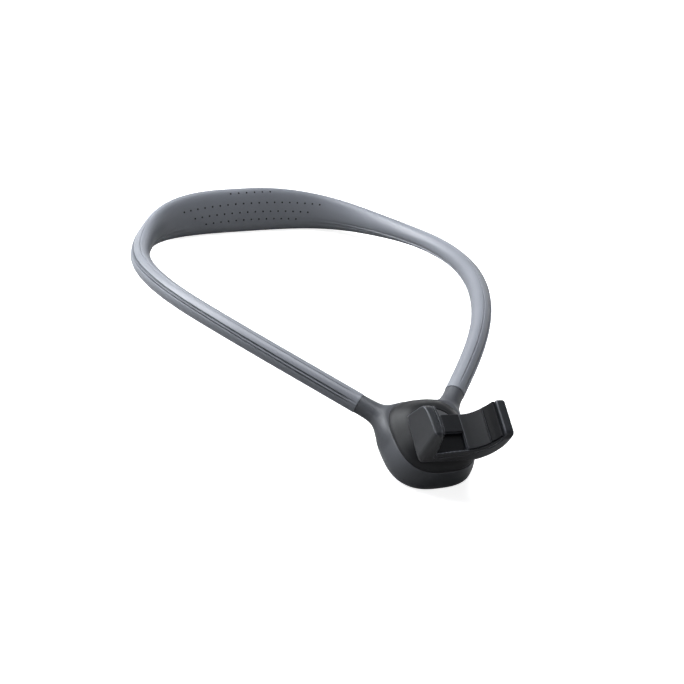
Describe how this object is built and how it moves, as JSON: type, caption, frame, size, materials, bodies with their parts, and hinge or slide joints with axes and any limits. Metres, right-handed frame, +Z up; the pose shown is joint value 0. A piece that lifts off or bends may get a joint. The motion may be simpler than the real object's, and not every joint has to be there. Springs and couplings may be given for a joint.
{
  "type": "camera neck mount",
  "caption": "Bendable neck loop with a flat grooved collar, a domed chest hub and a swivelling, tilting U-shaped grip cradle for a small camera.",
  "frame": {"origin": "middle of the base of the resting part, on the table plane, halfway between the cradle's end and the neck pad's back", "axes": "+Y towards the neck pad, along the part's length; +X to the side, the hub's right arm; +Z up from the table"},
  "size_m": [0.1694, 0.2479, 0.0468],
  "materials": {
    "sleeve": "matt soft-touch silicone",
    "grey_shell": "satin",
    "grey_cover": "fine matt",
    "dark_shell": "satin black",
    "cradle_shell": "satin",
    "disc_plastic": "satin",
    "pad_rubber": "matt",
    "washer_rubber": "matt",
    "frame_plastic": "moulded",
    "bushing_plastic": "moulded natural",
    "steel": "plain",
    "screw_steel": "plain"
  },
  "bodies": {
    "hub": {"neck_sleeve": "sleeve", "core_wire": "steel", "core_ferrules": "steel", "ferrule_screws": "screw_steel", "hub_skirt": "grey_shell", "back_cover": "grey_cover", "back_cover_screws": "screw_steel", "dome_cover": "dark_shell", "dome_screws": "screw_steel", "inner_frame": "frame_plastic", "swivel_bushing": "bushing_plastic", "friction_washer": "washer_rubber", "wave_spring": "steel"},
    "swivel": {"swivel_disc": "disc_plastic", "swivel_flange": "disc_plastic", "flange_screws": "screw_steel", "retaining_washer": "steel", "swivel_screw": "screw_steel", "tilt_pin": "screw_steel", "tilt_nut": "screw_steel", "tilt_washers": "bushing_plastic"},
    "cradle": {"tilt_knuckle": "dark_shell", "knuckle_screws": "screw_steel", "cradle_body": "cradle_shell", "left_grip_pad": "pad_rubber", "right_grip_pad": "pad_rubber", "floor_plate": "cradle_shell", "recess_pad": "pad_rubber"}
  },
  "joints": [
    {"name": "head_swivel", "type": "hinge", "parent": "hub", "child": "swivel", "pos_m": [0, -0.09273, 0.01736], "axis": [0, -0.3, 0.9539], "continuous": true},
    {"name": "cradle_tilt", "type": "hinge", "parent": "swivel", "child": "cradle", "pos_m": [-0.00046, -0.10133, 0.02545], "axis": [0.9969, -0.0748, -0.0235], "range_deg": [-60, 25]}
  ]
}
